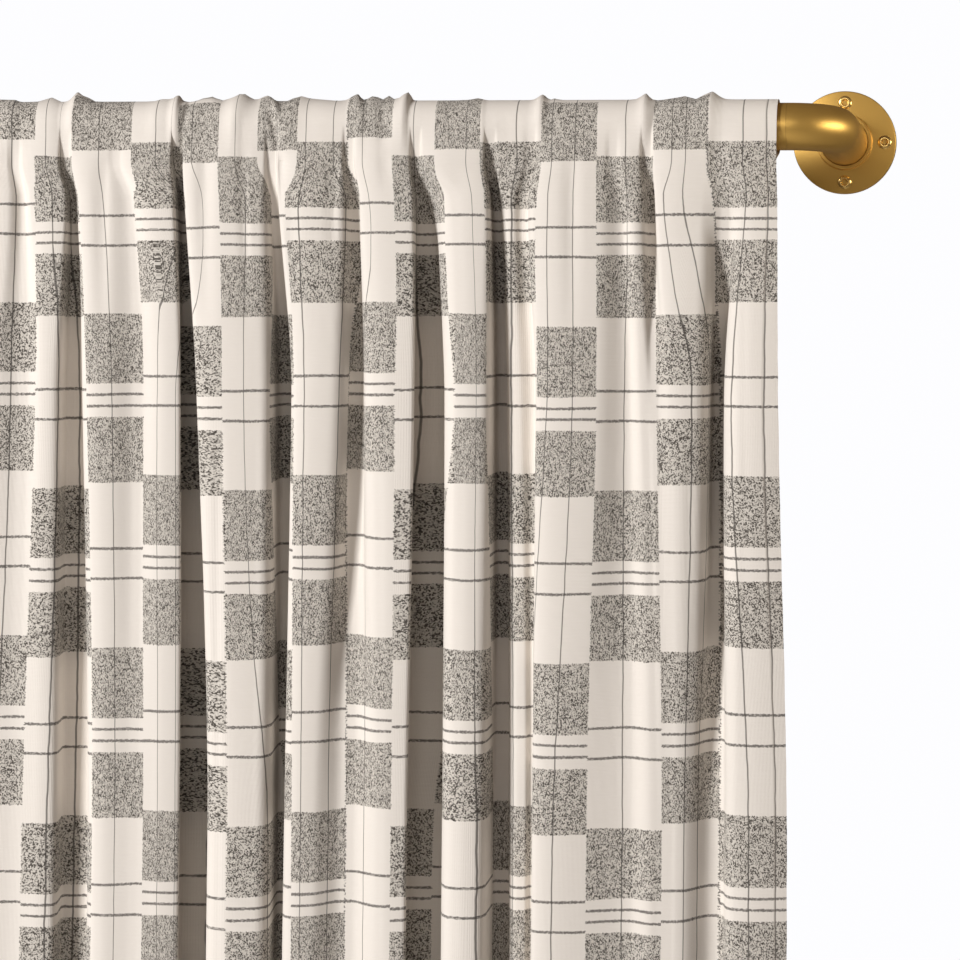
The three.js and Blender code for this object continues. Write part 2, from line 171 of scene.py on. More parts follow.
#          top,    seam,  high, low, left, right
GATHERS = [
    Gather(-450.3, -446.5, 1.6, 0.6, 4.0, 4.0), Gather(-421.5, -419.0, 2.4, 2.0, 5.0, 1.6),
    Gather(-406.0, -402.4, 3.0, 0.0, 4.0, 4.5), Gather(-359.0, -360.3, 1.6, 1.6, 4.5, 1.5),
    Gather(-339.4, -336.1, 1.3, 0.0, 3.0, 3.0), Gather(-324.8, -319.5, 1.0, 0.9, 4.0, 2.0),
    Gather(-304.3, -295.2, 3.0, 0.6, 5.0, 2.4), Gather(-287.0, -291.0, 2.8, 1.2, 3.0, 6.0),
    Gather(-276.1, -274.2, 0.8, 0.4, 6.0, 6.0), Gather(-255.5, -251.6, 3.6, 1.0, 4.6, 2.0),
    Gather(-245.8, -244.1, 3.0, 0.9, 4.2, 1.8), Gather(-237.6, -236.0, 2.9, 1.0, 3.4, 1.6),
    Gather(-228.0, -229.0, 4.6, 2.0, 4.5, 1.9), Gather(-189.6, -187.0, 1.2, 0.6, 5.0, 2.5),
    Gather(-155.5, -155.2, 3.0, 1.0, 3.2, 2.6), Gather(-148.5, -146.1, 1.0, 0.2, 1.8, 1.5),
    Gather(-99.8, -99.2, 3.4, 1.0, 3.6, 2.0), Gather(-80.8, -76.1, 2.6, 0.7, 4.2, 2.6),
    Gather(-65.2, -65.9, 4.4, 1.0, 4.6, 5.0),
]


class Crease:
    """A soft trough pressed by hand into the front of the cloth, or a ridge where its depth is
    negative: its places on the pocket, at the seam and at its end, the heights between which it
    runs, its depth and its half width."""

    def __init__(self, pocket, seam, end, from_z, to_z, deep, half):
        self.places = (pocket, seam, end)
        self.from_z, self.to_z, self.deep, self.half = from_z, to_z, deep, half


#          pocket,  seam,   end,  from_z, to_z, deep, half
CREASES = [
    Crease(-336.0, -335.5, -332.5, 12, -120, 2.3, 4.5),
    Crease(-317.5, -314.5, -310.0, 8, -110, 1.9, 2.0),
    Crease(-301.5, -294.5, -292.5, 12, -60, 2.4, 1.9),
    Crease(-288.5, -288.0, -286.0, -20, -110, 1.2, 2.5),
    Crease(-266.3, -266.0, -264.5, -6, -90, 1.6, 2.6),
    Crease(-238.3, -238.0, -236.5, 10, -40, 2.4, 1.7),
    Crease(-198.9, -198.6, -197.0, 14, -40, 3.0, 2.1),
    Crease(-174.7, -174.4, -173.0, 12, -110, 1.0, 2.0),
    Crease(-138.5, -137.8, -136.0, -8, -130, 1.5, 3.6),
    Crease(-93.3, -96.8, -96.0, 16, -14, 1.2, 1.6),
    Crease(-75.5, -75.3, -74.0, 10, -30, 0.8, 2.0),
    Crease(-74.0, -74.0, -70.0, -150, -460, 0.7, 2.5),
    Crease(-48.0, -47.6, -45.5, -120, -520, -0.7, 3.0),
]

# Width of the check's columns on the flat cloth, and where their edges lie across the hung panel
# at the seam, neck, middle and low charts
COLUMN = 49.0
CHECK_EDGES = [
    (-427.5, -427.0, -425.2, -429.4),
    (-408.1, -403.5, -397.0, -391.0),
    (-375.7, -373.8, -366.7, -363.6),
    (-350.4, -345.2, -346.6, -344.3),
    (-328.3, -327.0, -323.2, -318.0),
    (-307.3, -300.0, -298.8, -290.0),
    (-285.7, -292.0, -285.0, -283.5),
    (-258.8, -251.5, -257.5, -255.5),
    (-234.5, -232.8, -231.1, -230.4),
    (-211.3, -205.5, -198.5, -213.0),
    (-187.6, -184.3, -182.3, -178.5),
    (-154.2, -155.9, -154.8, -157.0),
    (-124.6, -124.1, -122.9, -126.0),
    (-94.4, -94.0, -91.2, -85.9),
    (-65.8, -61.7, -59.0, -56.5),
]
LAST_STRIP = 42.0


def at_height(heights, values, z):
    """Smooth value through one entry for each height, with no overshoot between them."""
    last = len(heights) - 1
    if z >= heights[0]:
        return values[0]
    if z <= heights[last]:
        return values[last]
    i = 0
    while z < heights[i + 1]:
        i += 1
    secants = [(values[k + 1] - values[k]) / (heights[k + 1] - heights[k]) for k in range(last)]

    def slope(k):
        if k in (0, last):
            return np.zeros_like(secants[0])
        before, after = secants[k - 1], secants[k]
        same_way = before * after > 1e-12
        return np.where(same_way, 2 * before * after / np.where(same_way, before + after, 1.0), 0.0)

    width = heights[i + 1] - heights[i]
    t = (z - heights[i]) / width
    ease = t * t * (3 - 2 * t)
    pull = t * (1 - t) * (1 - t) * width * slope(i) + t * t * (t - 1) * width * slope(i + 1)
    return values[i] * (1 - ease) + values[i + 1] * ease + pull


def spaced(steps):
    """Shares of a stretch, closer together towards its two ends."""
    return [0.5 * k / steps + 0.25 - 0.25 * math.cos(math.pi * k / steps) for k in range(steps + 1)]


LEAST_DROP = 0.05
BEND_SHARE = 0.97  # of the widest bends that fit, which leaves a short straight between them


def flank(width, drop, shares, rim=math.inf):
    """Side of a fold, from its crown down to the valley's floor: a bend over the rim, a straight,
    and a tighter bend at the bottom, level at both ends."""
    if drop < LEAST_DROP:
        return [(width * share, drop * share) for share in shares]
    widest = (width * width + drop * drop) / (2 * drop)
    both = BEND_SHARE * min(max(width, 2 * TIGHTEST_BEND), widest)
    tight = min(max(TIGHTEST_BEND, both * width / (width + 2 * drop)), both / 2)
    wide = min(rim, both - tight)
    both = wide + tight
    reach = math.hypot(width, drop - both)
    straight = math.sqrt(max(reach * reach - both * both, 0.0))
    turn = math.atan2(drop - both, width) + math.atan2(both, straight)
    total = both * turn + straight
    points = []
    for share in shares:
        along = total * share
        if along <= wide * turn:
            x, y = wide * math.sin(along / wide), wide * (1 - math.cos(along / wide))
        elif along <= wide * turn + straight:
            run = along - wide * turn
            x = wide * math.sin(turn) + run * math.cos(turn)
            y = wide * (1 - math.cos(turn)) + run * math.sin(turn)
        else:
            left = (total - along) / tight
            x, y = width - tight * math.sin(left), drop - tight * (1 - math.cos(left))
        points.append((x, y))
    return points


class Panel:
    """The gathered panel: its folds at any height, and where the check lies on them."""

    CROWN_STEP = 1.7
    HIDDEN_STEP = 6.0
    SIDE_STEP = 3.2
    HIDDEN_SIDES = 0.6

    @staticmethod
    def crown(t):
        """Swell of a fold's front: it turns in fast at the left and leans away at the right."""
        return 0.054 * (1 - math.exp(-t / 0.15)) + 0.05 * t - 0.104 * t * t

    def __init__(self):
        self.folds = []
        for index in REPEATED:
            self.folds.append(self.laid_out(VALLEYS[index], REPEAT_SHIFT))
        for valley in VALLEYS:
            self.folds.append(self.laid_out(valley, 0.0))
        self.stretches = []
        for index, fold in enumerate(self.folds):
            hidden = index < len(REPEATED)
            before = self.folds[index - 1]["end"][2] if index else LEFT_EDGE[2]
            step = self.HIDDEN_STEP if hidden else self.CROWN_STEP
            crown = max(3, round((fold["start"][2] - before) / step))
            deepest = max(fold["deep"])
            side = max(5, round(deepest / self.SIDE_STEP) + 3)
            if hidden:
                side = max(4, round(side * self.HIDDEN_SIDES))
            floor = max(2, round((fold["heel"][2] - fold["foot"][2]) / step))
            self.stretches.append((crown, side, floor))
        last_width = RIGHT_EDGE[2] - self.folds[-1]["end"][2]
        self.last_crown = max(4, round(last_width / self.CROWN_STEP))

    @staticmethod
    def laid_out(valley, shift):
        return {key: valley.placed(key, shift) for key in Valley.KEYS}

    def section(self, z):
        """Places across the panel and depths behind the crowns, at one height."""
        xs, deeps = [at_height(LEVELS, LEFT_EDGE, z)], [0.0]

        def level(to, steps, behind):
            start = xs[-1]
            wide = to - start
            swell = wide / (1 + behind)
            for share in spaced(steps)[1:]:
                xs.append(start + wide * share)
                deeps.append(behind - swell * self.crown(share))

        behind = 0.0
        for fold, (crown, side, floor) in zip(self.folds, self.stretches):
            read = {key: float(at_height(LEVELS, values, z)) for key, values in fold.items()}
            level(read["start"], crown, behind)
            falling = flank(read["foot"] - xs[-1], read["deep"] - behind, spaced(side), read["rim"])
            for across, back in falling[1:]:
                xs.append(read["start"] + across)
                deeps.append(behind + back)
            for share in spaced(floor)[1:]:
                xs.append(read["foot"] + (read["heel"] - read["foot"]) * share)
                deeps.append(read["deep"])
            rising = flank(read["end"] - read["heel"], read["deep"] - read["rest"], spaced(side))
            for across, back in reversed(rising[:-1]):
                xs.append(read["end"] - across)
                deeps.append(read["rest"] + back)
            behind = read["rest"]
        level(at_height(LEVELS, RIGHT_EDGE, z), self.last_crown, behind)
        return self.softened(np.array(xs), np.array(deeps))

    @staticmethod
    def softened(xs, deeps, radius=0.6, step=0.25, window=10):
        """The same line with its corners eased over about a millimetre of cloth."""
        run = np.concatenate([[0.0], np.cumsum(np.hypot(np.diff(xs), np.diff(deeps)))])
        even = np.arange(0.0, run[-1], step)
        reach = np.arange(-window, window + 1) * step
        weights = np.exp(-0.5 * (reach / radius) ** 2)
        weights /= weights.sum()
        eased = []
        for values in (xs, deeps):
            line = np.interp(even, run, values)
            before = 2 * line[0] - line[window:0:-1]
            after = 2 * line[-1] - line[-2:-2 - window:-1]
            padded = np.concatenate([before, line, after])
            eased.append(np.interp(run, even, np.convolve(padded, weights, mode="valid")))
        return eased

    @staticmethod
    def check_place(xs, deeps, edges):
        """Place across the flat cloth of each point of a section, with the edges of the check's
        columns at the places that the chart gives."""
        run = np.concatenate([[0.0], np.cumsum(np.hypot(np.diff(xs), np.diff(deeps)))])
        places = []
        for edge in edges:
            reached = int(np.argmax(xs >= edge))
            share = (edge - xs[reached - 1]) / (xs[reached] - xs[reached - 1])
            places.append(run[reached - 1] + share * (run[reached] - run[reached - 1]))
        flats = [COLUMN * (k + 1) for k in range(len(edges))]
        places.append(run[-1])
        flats.append(flats[-1] + LAST_STRIP)
        across = np.interp(run, places, flats)
        before = run < places[0]
        across[before] = flats[0] - (places[0] - run[before])
        return across

    def check_charts(self):
        """The check's place at every point of a section, for each charted height."""
        charts = []
        for k, z in enumerate(LEVELS):
            xs, deeps = self.section(z)
            edges = [edge[min(k, len(edge) - 1)] for edge in CHECK_EDGES]
            charts.append(self.check_place(xs, deeps, edges))
        return charts


panel = Panel()
columns = len(panel.section(SEAM_Z)[0])
check_charts = panel.check_charts()


def gather_rise(x, theta):
    """How far the pinched gathers stand off the pocket, at an angle round the rod."""
    down = min(max((theta - math.pi / 2) / (0.6 * math.pi), 0.0), 1.0)
    over = 0.25 + 0.75 * max(0.0, math.sin(theta)) ** 0.6 if theta < math.pi / 2 else 1.0
    rise = 0.0
    for gather in GATHERS:
        crest = gather.top + (gather.seam - gather.top) * math.sin(down * math.pi / 2)
        high = gather.high + (gather.low - gather.high) * down ** 0.7
        for shift in (0.0, REPEAT_SHIFT):
            away = x - crest + shift
            away /= gather.left if away < 0 else gather.right
            rise += high * math.exp(-away * away)
    return rise * over


def crease_depth(xs, z):
    """How deep the soft creases lie below the cloth's front at one height."""
    depths = np.zeros_like(xs)
    for crease in CREASES:
        share = (crease.from_z - z) / (crease.from_z - crease.to_z)
        if 0 < share < 1:
            pocket, seam, end = crease.places
            at = np.interp(-z, [-12.0, -SEAM_Z, max(-crease.to_z, 1 - SEAM_Z)], [pocket, seam, end])
            fade = min(1.0, 6 * share) * min(1.0, 1.6 * (1 - share))
            for shift in (0.0, REPEAT_SHIFT):
                away = (xs - at + shift) / crease.half
                depths += crease.deep * fade * np.exp(-away * away)
    return depths


OPENING_END = -75.0
OPENING_ROWS = 16
CREASED_END = -470.0
CREASED_STEP = 9.0
LOWER_ROWS = 22


def rows_below_seam():
    """Heights of the rows of the hanging part, close together where the folds open."""
    near = [SEAM_Z - 0.15 * k * k - 1.6 * k for k in range(OPENING_ROWS)]
    heights = [z for z in near if z > OPENING_END]
    while heights[-1] > CREASED_END:
        heights.append(heights[-1] - CREASED_STEP)
    low = heights[-1]
    heights += [low + (HEM_Z - low) * k / LOWER_ROWS for k in range(1, LOWER_ROWS + 1)]
    return heights


def hanging_row(z):
    """Points of one level row below the seam, their places across the check, and their depths."""
    xs, deeps = panel.section(z)
    forward = at_height(LEVELS, CROWN_FORWARD, z)
    ys = -PROJECTION - forward + deeps + crease_depth(xs, z)
    row = np.stack([xs, ys, np.full_like(xs, z)], axis=1)
    return row, at_height(LEVELS, check_charts, z), deeps


FRONT_ARC = 40
TANGENT_ROWS = 5
BACK_SEAM_GAP = 1.2
LOWEST_PRESS = -1.4
pocket_xs, pocket_deeps = panel.section(SEAM_Z)
seam_ys = -CROWN_FORWARD[0] + pocket_deeps

# Angles round the rod at which each column's pocket becomes round, in front and behind
spreads = []
for y in seam_ys:
    toward = math.atan2(SEAM_Z, y)
    beside = math.acos(POCKET_RADIUS / math.hypot(y, SEAM_Z))
    first = toward - beside
    if first < 0:
        first += 2 * math.pi
    spreads.append((first, toward + beside))


def pocket_row(t, tangent=None):
    """One row of the pocket. t runs from its front tangent, over the rod, to its back tangent;
    tangent is the share of the way from the seam up to the front or back tangent point."""
    row = []
    for x, y, (first, last) in zip(pocket_xs, seam_ys, spreads):
        theta = first + (last - first) * t
        height = POCKET_RADIUS * math.sin(theta)
        if tangent is not None:
            height = SEAM_Z + (height - SEAM_Z) * tangent
        rise = gather_rise(x, theta)
        if math.cos(theta) < 0.3:
            rise -= float(crease_depth(np.array([x]), height)[0])
        radius = POCKET_RADIUS + max(rise, LOWEST_PRESS)
        place = (radius * math.cos(theta), radius * math.sin(theta))
        if tangent is not None:
            place = (y + (place[0] - y) * tangent, SEAM_Z + (place[1] - SEAM_Z) * tangent)
        row.append((x, place[0] - PROJECTION, place[1]))
    return np.array(row)


def pocket_rows():
    """Rows of the pocket, from the seam behind the rod, over it, and down to the seam in front."""
    rows = [pocket_row(1.0, k / TANGENT_ROWS) for k in range(TANGENT_ROWS)]
    rows += [pocket_row(1.0 - k / FRONT_ARC) for k in range(FRONT_ARC)]
    rows += [pocket_row(0.0, 1.0 - k / TANGENT_ROWS) for k in range(TANGENT_ROWS)]
    rows[0][:, 1] += BACK_SEAM_GAP
    return [(row, check_charts[0], np.zeros_like(pocket_deeps)) for row in rows]


all_rows = pocket_rows() + [hanging_row(z) for z in rows_below_seam()]
points, across, deep = (np.array(values) for values in zip(*all_rows))
row_count = len(all_rows)

# Drop along the cloth, measured from the seam at the front
steps = np.linalg.norm(np.diff(points, axis=0), axis=2)
drop = np.concatenate([np.zeros((1, columns)), np.cumsum(steps, axis=0)])
seam_index = TANGENT_ROWS + FRONT_ARC + TANGENT_ROWS
drop = drop - drop[seam_index] - SEAM_Z
drop[seam_index:] = -points[seam_index:, :, 2]

# Cloth that runs back into a valley hangs a little higher there, by a share that grows downwards
LIFT_FROM = -13.0
LIFT_OVER = 450.0
LIFT_RATE = 1238.0
below = np.minimum(np.maximum(LIFT_FROM - points[:, :, 2], 0.0), LIFT_OVER)
flat_drop = drop + deep * below / LIFT_RATE


def cloth_mesh():
    bm = bmesh.new()
    bmesh.ops.create_grid(bm, x_segments=columns - 1, y_segments=row_count - 1, size=1.0)
    order = sorted(bm.verts, key=lambda v: (round(-v.co.y, 6), round(v.co.x, 6)))
    flat_places = {}
    for index, vert in enumerate(order):
        r, c = divmod(index, columns)
        vert.co = Vector(points[r, c]) * MM
        flat_places[vert] = (across[r, c] * MM, -flat_drop[r, c] * MM)
    layer = bm.loops.layers.uv.new("Cloth")
    for face in bm.faces:
        face.smooth = True
        for loop in face.loops:
            loop[layer].uv = flat_places[loop.vert]
    bmesh.ops.recalc_face_normals(bm, faces=bm.faces)
    # The room side of an open sheet is the outside
    probe = max(bm.faces, key=lambda f: -f.calc_center_median().y)
    if probe.normal.y > 0:
        bmesh.ops.reverse_faces(bm, faces=bm.faces)
    return bm


def piece_from(bm, name, material):
    mesh = bpy.data.meshes.new(name)
    bm.to_mesh(mesh)
    bm.free()
    piece = bpy.data.objects.new(name, mesh)
    bpy.context.scene.collection.objects.link(piece)
    mesh.materials.append(material)
    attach(piece, "root")
    return piece


# ---------------------------------------------------------------- shader maths


class Socket:
    """A shader socket that takes part in sums written as Python expressions."""

    def __init__(self, board, socket):
        self.board, self.socket = board, socket

    def joined(self, operation, first, second=None):
        return self.board.node("ShaderNodeMath", {"operation": operation}, [first, second])

    def __add__(self, other):
        return self.joined("ADD", self, other)

    __radd__ = __add__

    def __sub__(self, other):
        return self.joined("SUBTRACT", self, other)

    def __rsub__(self, other):
        return self.joined("SUBTRACT", other, self)

    def __mul__(self, other):
        return self.joined("MULTIPLY", self, other)

    __rmul__ = __mul__

    def __truediv__(self, other):
        return self.joined("DIVIDE", self, other)

    def __mod__(self, other):
        return self.joined("FLOORED_MODULO", self, other)

    def __lt__(self, other):
        return self.joined("LESS_THAN", self, other)

    def __gt__(self, other):
        return self.joined("GREATER_THAN", self, other)


class Board:
    """One material's node tree."""

    def __init__(self, name):
        self.material = bpy.data.materials.new(name)
        self.material.use_nodes = True
        self.tree = self.material.node_tree
        self.shader = self.tree.nodes["Principled BSDF"]

    def node(self, kind, settings=None, values=(), output=0):
        made = self.tree.nodes.new(kind)
        for key, value in (settings or {}).items():
            if key == "stops":
                self.set_stops(made.color_ramp, value)
            elif key == "interpolation":
                made.color_ramp.interpolation = value
            else:
                setattr(made, key, value)
        pairs = values.items() if isinstance(values, dict) else enumerate(values)
        for key, value in pairs:
            if value is None:
                continue
            if isinstance(value, Socket):
                self.tree.links.new(value.socket, made.inputs[key])
            else:
                made.inputs[key].default_value = value
        return Socket(self, made.outputs[output])

    @staticmethod
    def set_stops(ramp, stops):
        while len(ramp.elements) > 1:
            ramp.elements.remove(ramp.elements[-1])
        for index, (place, color) in enumerate(stops):
            element = ramp.elements[0] if index == 0 else ramp.elements.new(place)
            element.position = place
            element.color = color

    def math(self, operation, *values):
        return self.node("ShaderNodeMath", {"operation": operation}, values)

    def soft(self, value, low, high):
        """0 below low, 1 above high, smooth between."""
        return self.node("ShaderNodeMapRange", {"interpolation_type": "SMOOTHSTEP"},
                         {"Value": value, "From Min": low, "From Max": high})

    def line(self, offset, core, reach):
        """1 where offset is within core of nought, and 0 beyond reach."""
        return 1.0 - self.soft(self.math("ABSOLUTE", offset), core, reach)

    def steps(self, place, levels):
        """The level that stands at place, from 0 to 1 along the list, in even steps."""
        stops = [(index / len(levels), grey(level)) for index, level in enumerate(levels)]
        settings = {"interpolation": "CONSTANT", "stops": stops}
        return self.node("ShaderNodeValToRGB", settings, [place])

    def blend(self, factor, first, second, mode="MIX"):
        settings = {"data_type": "RGBA", "blend_type": mode}
        values = {0: factor, 6: first, 7: second}
        return self.node("ShaderNodeMix", settings, values, output=2)

    def noise(self, vector, scale, detail=2.0, roughness=0.5):
        values = {"Vector": vector, "Scale": scale, "Detail": detail, "Roughness": roughness}
        return self.node("ShaderNodeTexNoise", {}, values, output=0)

    def vector(self, x, y, z=0.0):
        return self.node("ShaderNodeCombineXYZ", {}, [x, y, z])

    def feed(self, name, value):
        if isinstance(value, Socket):
            self.tree.links.new(value.socket, self.shader.inputs[name])
        else:
            self.shader.inputs[name].default_value = value

    def bump(self, height, strength, distance):
        self.feed("Normal", self.node("ShaderNodeBump", {}, {
            "Strength": strength, "Distance": distance, "Height": height}))


def grey(value):
    return (value, value, value, 1.0)


# ---------------------------------------------------------------- the checked cloth

# Along each column, from its start: a grey block, a cream band and a second grey block
REPEAT = 179.0
FIRST_GREY = 37.5
BAND_END = 55.5
GREY_END = 90.5
PHASE = 76.9

# How far each column of eight is woven above or below its even place
COLUMN_SLIPS = (-6.7, 3.7, -0.5, -3.5, 6.4, 4.5, 0.0, -3.5)
SLIP_RANGE = 40.0

# The odd columns' first blocks are woven shorter
TIGHT_ROWS = 1.045
TIGHT_END = 118.0

# Single dark yarns: across each repeat, and down each column of sixteen
WEFT_LINES = (43.5, 49.5, 126.0, 142.0)
FIRST_WARPS = (35.0, 10.5, 22.0, 20.0, 25.0, 21.5, 25.0, 8.0,
               19.5, 24.0, 34.5, 31.0, 9.5, 22.5, 17.5, 22.0)
SECOND_WARPS = (35.0, 30.0, 22.0, 43.0, 25.0, 21.5, 25.0, 33.0,
                19.5, 24.0, 34.5, 31.0, 30.0, 22.5, 30.0, 36.0)

# Half widths of the single lines: where each is full, and where it has gone
WEFT_WIDTH = (0.45, 0.95)
WARP_WIDTH = (0.2, 0.55)
FRINGE_WIDTH = (0.4, 1.3)
# The last is the painted shadow line along the side hem's edge
HEM_SHADOW_WIDTH = (0.2, 0.7)

# How much of each line's shade shows over the cloth
WEFT_STRENGTH = 0.86
WARP_STRENGTH = 0.8
FRINGE_STRENGTH = 0.85
# The last is the painted shadow line along the side hem's edge
HEM_SHADOW_STRENGTH = 0.35

# Loops of the grey yarn to a millimetre
LOOPS_ACROSS = 1.85
LOOPS_DOWN = 1.65
THREAD_RIBS = 9.0
RELIEF = 0.0004

# Cut ends show along one column's edge in seven; a painted shadow line runs along the side hem's
# edge near the right edge
FRINGE_REPEAT = 7 * COLUMN
FRINGE_FROM = 4 * COLUMN
# Place across the flat cloth of the side hem's edge, where the painted shadow line lies
HEM_EDGE_PLACE = 770.5

INSIDE_STEP = 0.01  # keeps a place off the edge between two steps of a ramp

PALE_CREAM = (0.86, 0.81, 0.75, 1.0)
DEEP_CREAM = (0.80, 0.745, 0.68, 1.0)
PALE_YARN = (0.65, 0.61, 0.552, 1.0)
DARK_YARN = (0.085, 0.075, 0.065, 1.0)
LINE_YARN = (0.075, 0.067, 0.06, 1.0)
# Painted shade: colour of the shadow line along the side hem's edge
HEM_EDGE_SHADOW = (0.45, 0.40, 0.35, 1.0)


def checked_cloth():
    board = Board("checked_cloth")
    flat = board.node("ShaderNodeUVMap", {"uv_map": "Cloth"})
    split = board.tree.nodes.new("ShaderNodeSeparateXYZ")
    board.tree.links.new(flat.socket, split.inputs[0])
    u = Socket(board, split.outputs[0]) * 1000.0
    v = Socket(board, split.outputs[1]) * -1000.0

    # Yarns wander a little, and the edges of the grey yarns are ragged
    wander = board.noise(board.vector(u * 0.02, v * 0.05), 1.0) - 0.5
    ragged_u = board.noise(board.vector(u * 0.5, v * 1.3), 1.0, 3.0) - 0.5
    ragged_v = board.noise(board.vector(u * 1.3, v * 0.5), 1.0, 3.0) - 0.5

    # Blocks of grey, in columns that start half a repeat apart
    column = board.math("FLOOR", (u + ragged_u * 2.6) / COLUMN)
    odd = column % 2.0
    slip_count = len(COLUMN_SLIPS)
    slip_place = (column % float(slip_count)) / float(slip_count) + INSIDE_STEP
    levels = [0.5 + slip / SLIP_RANGE for slip in COLUMN_SLIPS]
    slip = (board.steps(slip_place, levels) - 0.5) * SLIP_RANGE
    down = v - slip + odd * (REPEAT / 2) + PHASE + wander * 2.0
    tight = 1.0 + odd * (v < TIGHT_END) * (TIGHT_ROWS - 1.0)
    line_row = (down % REPEAT) * tight
    row = ((down + ragged_v * 2.2) % REPEAT) * tight
    in_grey = (row < FIRST_GREY) + (row > BAND_END) * (row < GREY_END)

    # Bouclé yarn: small loops, each of its own shade
    loops = board.node("ShaderNodeTexVoronoi", {}, {
        "Vector": board.vector(u * LOOPS_ACROSS, v * LOOPS_DOWN), "Scale": 1.0}, output=1)
    coarse = board.noise(board.vector(u * 0.2, v * 0.35), 1.0, 2.0)
    mottle = board.soft(loops + (coarse - 0.5) * 0.45, 0.24, 0.62)
    yarn = board.blend(mottle, DARK_YARN, PALE_YARN)

    # Single dark yarns across the cloth, worn thin here and there
    fuzz = board.noise(board.vector(u * 0.8, v * 0.8), 1.0, 2.0) - 0.5
    weft = 0.0
    for line in WEFT_LINES:
        offset = line_row - line + fuzz * 1.3
        weft = board.math("MAXIMUM", weft, board.line(offset, *WEFT_WIDTH))
    broken = board.soft(board.noise(board.vector(u * 0.9, v * 0.9), 1.0, 2.0), 0.3, 0.55)
    weft = weft * (0.55 + broken * 0.45)

    # Single dark yarns down the cloth, one or two to a column
    plain_column = board.math("FLOOR", u / COLUMN)
    across_column = u - plain_column * COLUMN
    turn = (plain_column % len(FIRST_WARPS)) / len(FIRST_WARPS) + INSIDE_STEP
    warp = 0.0
    for lines in (FIRST_WARPS, SECOND_WARPS):
        place = board.steps(turn, [line / COLUMN for line in lines]) * COLUMN
        offset = across_column - place + wander * 1.5
        warp = board.math("MAXIMUM", warp, board.line(offset, *WARP_WIDTH))

    # Cut ends of the grey yarns
    half = FRINGE_REPEAT / 2
    from_edge = (u + ragged_u * 2.0 - COLUMN + half) % FRINGE_REPEAT - half
    ends = board.soft(board.noise(board.vector(u * 0.5, v * 0.9), 1.0, 2.0), 0.5, 0.56)
    fringe = board.line(from_edge, *FRINGE_WIDTH) * ends * (u > FRINGE_FROM)

    slub = board.noise(board.vector(u * 0.08, v * 1.4), 1.0, 2.0) - 0.5
    colour = board.blend(in_grey, board.blend(0.5 + slub * 0.5, DEEP_CREAM, PALE_CREAM), yarn)
    colour = board.blend(weft * WEFT_STRENGTH, colour, LINE_YARN)
    colour = board.blend(warp * WARP_STRENGTH, colour, LINE_YARN)
    colour = board.blend(fringe * FRINGE_STRENGTH, colour, LINE_YARN)
    # Painted shadow: a thin darker line along the side hem's edge, where the hem fold stands
    # forward
    hem_shadow_line = board.line(u - HEM_EDGE_PLACE, *HEM_SHADOW_WIDTH)
    colour = board.blend(hem_shadow_line * HEM_SHADOW_STRENGTH, colour, HEM_EDGE_SHADOW)
    board.feed("Base Color", colour)
    board.feed("Roughness", 0.92)
    board.feed("Sheen Weight", 0.12)
    board.feed("Sheen Roughness", 0.5)
    board.feed("Specular IOR Level", 0.2)

    threads = (board.math("SINE", u * THREAD_RIBS) * 0.25
               + board.math("SINE", v * THREAD_RIBS) * 0.25)
    board.bump(threads + loops * in_grey + slub * 0.6 + weft * 0.8, 0.35, RELIEF)
    return board.material


def brass(name, color, roughness, streak, metallic):
    board = Board(name)
    place = board.node("ShaderNodeTexCoord", {}, output=3)
    cloud = board.noise(place, 30.0, 3.0)
    grain = board.noise(place, 900.0, 2.0)
    darker = tuple(0.93 * c for c in color[:3]) + (1.0,)
    shade = board.blend(board.soft(cloud, 0.3, 0.7), darker, color)
    board.feed("Base Color", shade)
    board.feed("Metallic", metallic)
    board.feed("Roughness", roughness + (cloud - 0.5) * 0.12 + (grain - 0.5) * streak)
    board.bump(grain, 0.06, 0.0002)
    return board.material


# ---------------------------------------------------------------- the curtain

curtain = piece_from(cloth_mesh(), "curtain_cloth", checked_cloth())
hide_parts("curtain_panel")

# ---------------------------------------------------------------- rod, returns, plates, screws

ROUND = 96
rod_brass = brass("rod_brass", (0.86, 0.53, 0.135, 1.0), 0.41, 0.06, 0.82)
screw_brass = brass("screw_brass", (0.90, 0.60, 0.20, 1.0), 0.25, 0.06, 0.9)


def smooth(bm, sharp=math.radians(35)):
    for face in bm.faces:
        face.smooth = True
    for edge in bm.edges:
        if len(edge.link_faces) == 2 and edge.calc_face_angle(0.0) > sharp:
            edge.smooth = False


def ring_of(bm, radius, sides=ROUND):
    made = bmesh.ops.create_circle(bm, segments=sides, radius=radius)
    return made["verts"], [e for e in bm.edges if e.verts[0] in made["verts"]]


def grow(bm, edges, move):
    made = bmesh.ops.extrude_edge_only(bm, edges=edges)["geom"]
    verts = [g for g in made if isinstance(g, bmesh.types.BMVert)]
    bmesh.ops.translate(bm, verts=verts, vec=move)
    return [part for part in made
            if isinstance(part, bmesh.types.BMEdge) and all(v in verts for v in part.verts)]


def turned(profile, sides=ROUND):
    """A body turned about the wall's normal, from its profile of radius and height off the wall."""
    bm = bmesh.new()
    verts = [bm.verts.new((radius * MM, -height * MM, 0.0)) for radius, height in profile]
    edges = [bm.edges.new(pair) for pair in zip(verts, verts[1:])]
    bmesh.ops.spin(bm, geom=verts + edges, cent=(0, 0, 0), axis=(0, 1, 0), angle=2 * math.pi,
                   steps=sides, use_merge=True)
    bmesh.ops.remove_doubles(bm, verts=bm.verts, dist=1e-6)
    bmesh.ops.recalc_face_normals(bm, faces=bm.faces)
    return bm


